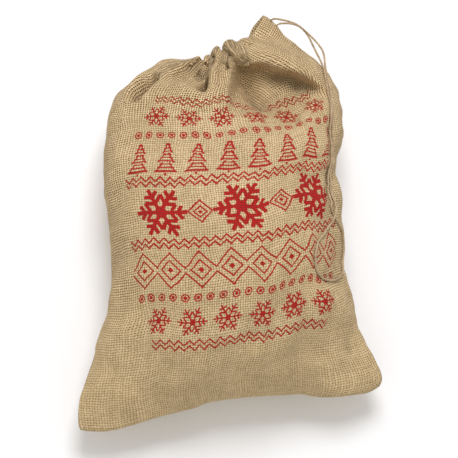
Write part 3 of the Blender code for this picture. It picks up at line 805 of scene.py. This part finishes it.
def hessian_material():
    graph = Graph("hessian_woven")
    height, tone, opened = weave(graph, *cloth_place(graph, "threads"))
    place, across, up, side = cloth_place(graph, "cloth")
    hair = graph.noise(place, 1.2, 3.0)
    tone = graph.add(tone, graph.times(graph.subtract(hair, 0.5), 0.9))
    patch = graph.noise(place, PATCH_SCALE, 3.0, 0.6)
    colour = graph.mix(graph.band(tone, -0.15, 0.60), YARN_DARK, YARN_LIGHT)
    strained = graph.band(opened, 0.0, OPENED, *STRAINED_TONES)
    patchy = graph.band(patch, 0.3, 0.7, *PATCH_TONES)
    colour = graph.scaled(colour, graph.times(strained, patchy))
    red = graph.times(print_share(graph, place, across, up), side)
    worn = graph.band(graph.add(height, graph.times(hair, 0.5)), 0.30, 0.70, 0.70, 1.0)
    colour = graph.mix(graph.times(red, worn), colour, PRINT_COLOUR)
    # Painted shade: the gaps and the low sides of the yarns, where they dip under the crossing yarns,
    # are darkened towards the gaps' shade colour.
    colour = graph.mix(graph.band(height, 0.05, 0.62), GAP_SHADE_COLOUR, colour)
    hollow = graph.node("ShaderNodeAttribute", attribute_name="hollow").outputs["Fac"]
    colour = graph.scaled(colour, graph.band(hollow, *HOLLOWS_BETWEEN, *HOLLOW_TONES))
    return graph.finished(colour, CLOTH_ROUGHNESS, height, BUMP_HEIGHT)


# ---------------------------------------------------------------- the twine's material
TWINE_DARK = (0.25, 0.17, 0.09, 1.0)
TWINE_LIGHT = (0.60, 0.455, 0.29, 1.0)
TWINE_ROUGHNESS = 0.9
FIBRE_HEIGHT = 0.0002      # metres
FIBRE_SCALE = 1400.0       # one over metres
SPOT_SCALE = 120.0         # of the twine's lighter and darker lengths, one over metres


def twine_material():
    graph = Graph("twine_twisted")
    place = graph.node("ShaderNodeTexCoord").outputs["Object"]
    fibres = graph.noise(place, FIBRE_SCALE, 3.0, 0.65)
    patches = graph.noise(place, SPOT_SCALE, 2.0)
    tone = graph.add(graph.times(fibres, 0.7), graph.times(patches, 0.4))
    colour = graph.mix(graph.band(tone, 0.30, 0.75), TWINE_DARK, TWINE_LIGHT)
    return graph.finished(colour, TWINE_ROUGHNESS, fibres, FIBRE_HEIGHT)


# ---------------------------------------------------------------- objects
def link(name, data, finish):
    made = bpy.data.objects.new(name, data)
    data.materials.append(finish)
    bpy.context.scene.collection.objects.link(made)
    return made


def aim(spot, target):
    """Turns a light's -Z towards target."""
    spot.rotation_euler = (target - spot.location).to_track_quat("-Z", "Y").to_euler()


def make_camera():
    back = Vector((-math.tan(CAMERA_SIDE_TILT), -math.tan(CAMERA_FOOT_TILT), 1.0)).normalized()
    up = Vector((0.0, 1.0, 0.0))
    up = (up - back * up.dot(back)).normalized()
    right = up.cross(back)
    turned_right = right * math.cos(CAMERA_ROLL) - up * math.sin(CAMERA_ROLL)
    turned_up = right * math.sin(CAMERA_ROLL) + up * math.cos(CAMERA_ROLL)
    data = bpy.data.cameras.new("camera")
    data.sensor_width = SENSOR_WIDTH
    data.lens = SENSOR_WIDTH * CAMERA_DISTANCE / PIXEL_AT_TARGET / PHOTO_WIDTH
    camera = bpy.data.objects.new("camera", data)
    bpy.context.scene.collection.objects.link(camera)
    turn = Matrix((turned_right, turned_up, back)).transposed().to_4x4()
    camera.matrix_world = Matrix.Translation(CAMERA_TARGET + back * CAMERA_DISTANCE) @ turn
    bpy.context.scene.camera = camera


def make_stage():
    graph = Graph("floor_pale")
    graph.shader.inputs["Base Color"].default_value = FLOOR_COLOUR
    graph.shader.inputs["Roughness"].default_value = FLOOR_ROUGHNESS
    mesh = bpy.data.meshes.new("floor")
    corners = [(-FLOOR_REACH, -FLOOR_REACH, 0.0), (FLOOR_REACH, -FLOOR_REACH, 0.0),
               (FLOOR_REACH, FLOOR_REACH, 0.0), (-FLOOR_REACH, FLOOR_REACH, 0.0)]
    mesh.from_pydata(corners, [], [(0, 1, 2, 3)])
    link("floor", mesh, graph.material)


def make_lights():
    world = bpy.data.worlds.new("studio")
    world.use_nodes = True
    world.node_tree.nodes["Background"].inputs[0].default_value = WORLD_COLOUR
    world.node_tree.nodes["Background"].inputs[1].default_value = WORLD_STRENGTH
    bpy.context.scene.world = world
    bpy.context.scene.view_settings.view_transform = "Standard"
    for name, place, size, watts, colour in LIGHTS:
        data = bpy.data.lights.new(name, "AREA")
        data.size = size
        data.energy = watts
        data.color = colour
        lamp = bpy.data.objects.new(name, data)
        bpy.context.scene.collection.objects.link(lamp)
        lamp.location = place
        aim(lamp, LIGHTS_AIM)


FLOOR_REACH = 3.0
FLOOR_COLOUR = (0.92, 0.92, 0.92, 1.0)
FLOOR_ROUGHNESS = 0.8
LIGHTS_AIM = Vector((0.0, 0.0, 0.05))
WORLD_STRENGTH = 0.57
WORLD_COLOUR = (1.0, 0.988, 0.95, 1.0)
# name, place, side of the square in metres, watts, colour
LIGHTS = (
    ("key_light", Vector((0.14, 0.74, 1.62)), 0.8, 19.8, (1.0, 1.0, 1.06)),
    ("fill_light", Vector((-0.50, -0.90, 1.3)), 1.0, 3.2, (1.0, 1.0, 1.0)),
)


def row_shares():
    """The shares of the height at which the cloth has a row of points."""
    shares = [0.0]
    for low, high, rows in ROW_BANDS:
        shares += [low + (high - low) * (row + 1) / rows for row in range(rows)]
    return np.array(shares)


def hem_rows(grid, front):
    """Rows of points that roll the hem over inwards and run down inside it."""
    edge = grid[-1]
    out = outward(grid, front)[-1]
    up = edge - grid[-3]
    up /= np.linalg.norm(up, axis=-1, keepdims=True)
    rows = []
    for step in range(1, HEM_ROLL_STEPS + 1):
        angle = math.pi * step / HEM_ROLL_STEPS
        rows.append(edge + HEM_ROLL * (up * math.sin(angle) - out * (1 - math.cos(angle))))
    for step in range(1, HEM_INSIDE_STEPS + 1):
        rows.append(rows[HEM_ROLL_STEPS - 1] - up * HEM_INSIDE * step / HEM_INSIDE_STEPS)
    return np.stack(rows)


HEM_ROLL = 0.0016          # radius of the roll at the hem's edge
HEM_ROLL_STEPS = 6
HEM_INSIDE = 0.010         # how far the turned-in edge is followed down inside
HEM_INSIDE_STEPS = 4


def run_lengths(grid, axis):
    """Lengths along a grid's rows (axis 1) or columns (axis 0), from their first point."""
    steps = np.linalg.norm(np.diff(grid, axis=axis), axis=-1)
    zero = np.zeros_like(np.take(steps, [0], axis=axis))
    return np.concatenate([zero, np.cumsum(steps, axis=axis)], axis=axis)


def thread_places(grid, shares, widths, front):
    """The place of each point in the weave, in millimetres, once for each panel between two fold
    lines.  In a panel the yarns keep their spacing: what is gathered in is hidden at the lines."""
    run = run_lengths(grid, 1)
    up = run_lengths(grid, 0)
    full = int(np.argmin(np.abs(shares - GATHERED_FROM)))
    panels = np.empty((len(edge_places(0.0, front)) - 1, *run.shape))
    for row in range(len(run)):
        share = shares[min(row, len(shares) - 1)]
        scale = BAG_WIDTH / run[min(row, full), -1]
        edges = edge_places(share, front)
        for panel, (start, end) in enumerate(zip(edges[:-1], edges[1:])):
            anchor = 0.0 if start == 0 else 1.0 if end == 1 else (start + end) / 2
            middle = np.interp(anchor, widths, run[row])
            if row < full:
                anchor = middle / run[row, -1]
            panels[panel, row] = anchor * BAG_WIDTH + (run[row] - middle) * scale
    off_middle = panels - BAG_WIDTH / 2
    past = np.clip(np.abs(off_middle) - LOOSE_FROM, 0.0, None)
    panels = panels - np.sign(off_middle) * LOOSENED * past
    side = np.full(run.shape, 0.001 if front else 0.0)
    return np.stack(np.broadcast_arrays(panels, up, side), axis=-1) * 1000


def edge_places(share, front):
    """The panels' edges at a share of the height, from the left seam to the right."""
    table = FOLD_LINES_FRONT if front else FOLD_LINES_BACK
    return [0.0, *(float(line) for line in columns_at(table, share)), 1.0]


def face_corners(threads, shares, widths, front):
    """The place in the weave of each corner of a half's faces."""
    rows = threads.shape[1] - 1
    middles = (widths[1:] + widths[:-1]) / 2
    corners = np.empty((rows, len(middles), 4, 3))
    for row in range(rows):
        edges = edge_places(shares[min(row, len(shares) - 1)], front)
        panel = np.searchsorted(edges, middles) - 1
        left = np.arange(len(middles))
        for corner, (up, over) in enumerate(CORNER_ORDER if front else CORNER_ORDER_BACK):
            corners[row, :, corner] = threads[panel, row + up, left + over]
    return corners


# Rows up and columns over from a face's lower left point to each of its corners.
CORNER_ORDER = ((0, 0), (0, 1), (1, 1), (1, 0))
CORNER_ORDER_BACK = ((0, 1), (0, 0), (1, 0), (1, 1))
LOOSE_FROM = 0.085         # from the middle: past this the yarns lie a little further apart
LOOSENED = 0.20
GATHERED_FROM = 0.60       # share of the height above which cloth is gathered in
# Lines at which gathered cloth is hidden: share of the height, shares of the width.
FOLD_LINES_FRONT = (
    (0.600, 0.110, 0.400, 0.480, 0.560, 0.660),
    (0.750, 0.115, 0.390, 0.470, 0.560, 0.640),
    (0.820, 0.130, 0.385, 0.450, 0.530, 0.580),
    (0.865, 0.155, 0.378, 0.430, 0.520, 0.575),
    (0.910, 0.165, 0.340, 0.425, 0.510, 0.600),
    (0.940, 0.170, 0.302, 0.400, 0.500, 0.660),
    (1.000, 0.180, 0.270, 0.330, 0.460, 0.710),
)
FOLD_LINES_BACK = (
    (0.600, 0.240, 0.410, 0.580, 0.760),
    (1.000, 0.240, 0.410, 0.580, 0.760),
)


def cloth_places(grid, widths, front):
    """The cloth's flat place of each point of a grid, in millimetres."""
    up = run_lengths(grid, 0)
    across = np.broadcast_to(widths * BAG_WIDTH, up.shape)
    side = np.full(up.shape, 0.001 if front else 0.0)
    return np.stack([across, up, side], axis=-1) * 1000


def hollow_depths(grid, widths, front):
    """How far each point of a grid lies below the cloth round it, in millimetres.  Beside the
    seams a grid has cloth on one side only, so there it is eased to nothing."""
    evened = grid
    for _ in range(EVENING_PASSES):
        edged = np.pad(evened, ((1, 1), (1, 1), (0, 0)), mode="edge")
        evened = (edged[:-2, 1:-1] + edged[2:, 1:-1] + edged[1:-1, :-2] + edged[1:-1, 2:]) / 4
    depths = ((evened - grid) * outward(grid, front)).sum(axis=-1)
    from_seam = BAG_WIDTH * np.minimum(widths, 1 - widths)
    return depths * ease(*HOLLOWS_FROM_SEAM, from_seam) * 1000


HOLLOWS_FROM_SEAM = (0.010, 0.030)
EVENING_PASSES = 26        # steps of evening out, over some 5 mm of cloth


def make_cloth():
    """The sack's cloth: front and back grids, joined at the seams and the bottom fold."""
    shares = row_shares()
    points = []
    hollows = []
    places = []
    threads = []
    corners = []
    starts = []
    for front, columns in ((True, FRONT_COLUMNS), (False, BACK_COLUMNS)):
        widths = np.linspace(0.0, 1.0, columns + 1)
        half = half_sack(shares, widths, front)
        half = np.concatenate([half, hem_rows(half, front)])
        starts.append(len(points))
        points += [tuple(point) for point in half.reshape(-1, 3)]
        hollows.append(hollow_depths(half, widths, front).ravel())
        places.append(cloth_places(half, widths, front).reshape(-1, 3))
        threads.append(thread_places(half, shares, widths, front))
        corners.append(face_corners(threads[-1], shares, widths, front).reshape(-1, 3))
        rows = half.shape[0] - 1

    def front_at(row, column):
        return row * (FRONT_COLUMNS + 1) + column

    def back_at(row, column):
        return starts[1] + row * (BACK_COLUMNS + 1) + column

    faces = [tuple(front_at(row + up, column + over) for up, over in CORNER_ORDER)
             for row in range(rows) for column in range(FRONT_COLUMNS)]
    faces += [tuple(back_at(row + up, column + over) for up, over in CORNER_ORDER_BACK)
              for row in range(rows) for column in range(BACK_COLUMNS)]
    round_seam = np.array([EDGE_THICKNESS * 1000, 0.0, 0.0])
    left = threads[0][0, :, 0]
    right = threads[0][-1, :, -1]
    for row in range(rows):
        faces.append((back_at(row, 0), front_at(row, 0),
                      front_at(row + 1, 0), back_at(row + 1, 0)))
        corners.append([left[row] - round_seam, left[row], left[row + 1],
                        left[row + 1] - round_seam])
        faces.append((front_at(row, FRONT_COLUMNS), back_at(row, BACK_COLUMNS),
                      back_at(row + 1, BACK_COLUMNS), front_at(row + 1, FRONT_COLUMNS)))
        corners.append([right[row], right[row] + round_seam, right[row + 1] + round_seam,
                        right[row + 1]])
    fold = threads[0][0, 0]
    round_fold = np.array([0.0, EDGE_THICKNESS * 1000, 0.0])
    columns_each = FRONT_COLUMNS // BACK_COLUMNS
    for column in range(BACK_COLUMNS):
        first = column * columns_each
        last = first + columns_each
        faces.append((back_at(0, column), back_at(0, column + 1),
                      *(front_at(0, at) for at in range(last, first - 1, -1))))
        corners.append([fold[first] - round_fold, fold[last] - round_fold,
                        *(fold[at] for at in range(last, first - 1, -1))])
    mesh = bpy.data.meshes.new("sack_shell")
    mesh.from_pydata(points, [], faces)
    mesh.shade_smooth()
    for name, domain, values in (("cloth", "POINT", places), ("threads", "CORNER", corners)):
        flat = mesh.attributes.new(name, "FLOAT_VECTOR", domain)
        flat.data.foreach_set("vector", np.concatenate(values).astype(np.float32).ravel())
    hollow = mesh.attributes.new("hollow", "FLOAT", "POINT")
    hollow.data.foreach_set("value", np.concatenate(hollows).astype(np.float32))
    cloth = link("sack_shell", mesh, hessian_material())
    tree_of_cloth = BVHTree.FromPolygons([Vector(point) for point in points], faces)
    shell = cloth.modifiers.new("cloth thickness", "SOLIDIFY")
    shell.thickness = CLOTH_THICKNESS
    shell.offset = -1.0
    shell.use_rim = True
    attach(cloth, "root")
    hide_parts("sack_cloth")
    return tree_of_cloth


def make_twine(route):
    """Two plies twisted round each other along the route."""
    route = np.asarray(route)
    way = np.gradient(route, axis=0)
    way /= np.linalg.norm(way, axis=1, keepdims=True)
    run = run_lengths(route[None], 1)[0]
    side = np.cross(way[0], (0.0, 0.0, 1.0))
    points = []
    for at, ahead, length in zip(route, way, run):
        side = side - ahead * side.dot(ahead)
        side /= np.linalg.norm(side)
        other = np.cross(ahead, side)
        for step in range(TWINE_SIDES):
            angle = 2 * math.pi * step / TWINE_SIDES
            lobe = abs(math.cos(angle - 2 * math.pi * length / TWIST_LENGTH))
            radius = TWINE_DIAMETER / 2 * (TWINE_WAIST + (TWINE_BULGE - TWINE_WAIST) * lobe)
            points.append(at + radius * (math.cos(angle) * side + math.sin(angle) * other))
    faces = []
    for ring in range(len(route) - 1):
        for step in range(TWINE_SIDES):
            following = (step + 1) % TWINE_SIDES
            low = ring * TWINE_SIDES
            high = low + TWINE_SIDES
            faces.append((low + step, low + following, high + following, high + step))
    last = (len(route) - 1) * TWINE_SIDES
    faces.append(tuple(range(TWINE_SIDES - 1, -1, -1)))
    faces.append(tuple(range(last, last + TWINE_SIDES)))
    mesh = bpy.data.meshes.new("twine_loop")
    mesh.from_pydata([tuple(point) for point in points], [], faces)
    mesh.validate()
    mesh.shade_smooth()
    twine = link("twine_loop", mesh, twine_material())
    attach(twine, "root")
    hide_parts("drawstring")


TWINE_SIDES = 12
TWINE_WAIST = 0.72         # the twine's narrowest radius, as a share of half its diameter
TWINE_BULGE = 1.06         # and its widest
TWIST_LENGTH = 0.0075      # along the twine for one ply to go once round

make_camera()
cloth_tree = make_cloth()
make_twine(twine_route(cloth_tree))
make_stage()
make_lights()
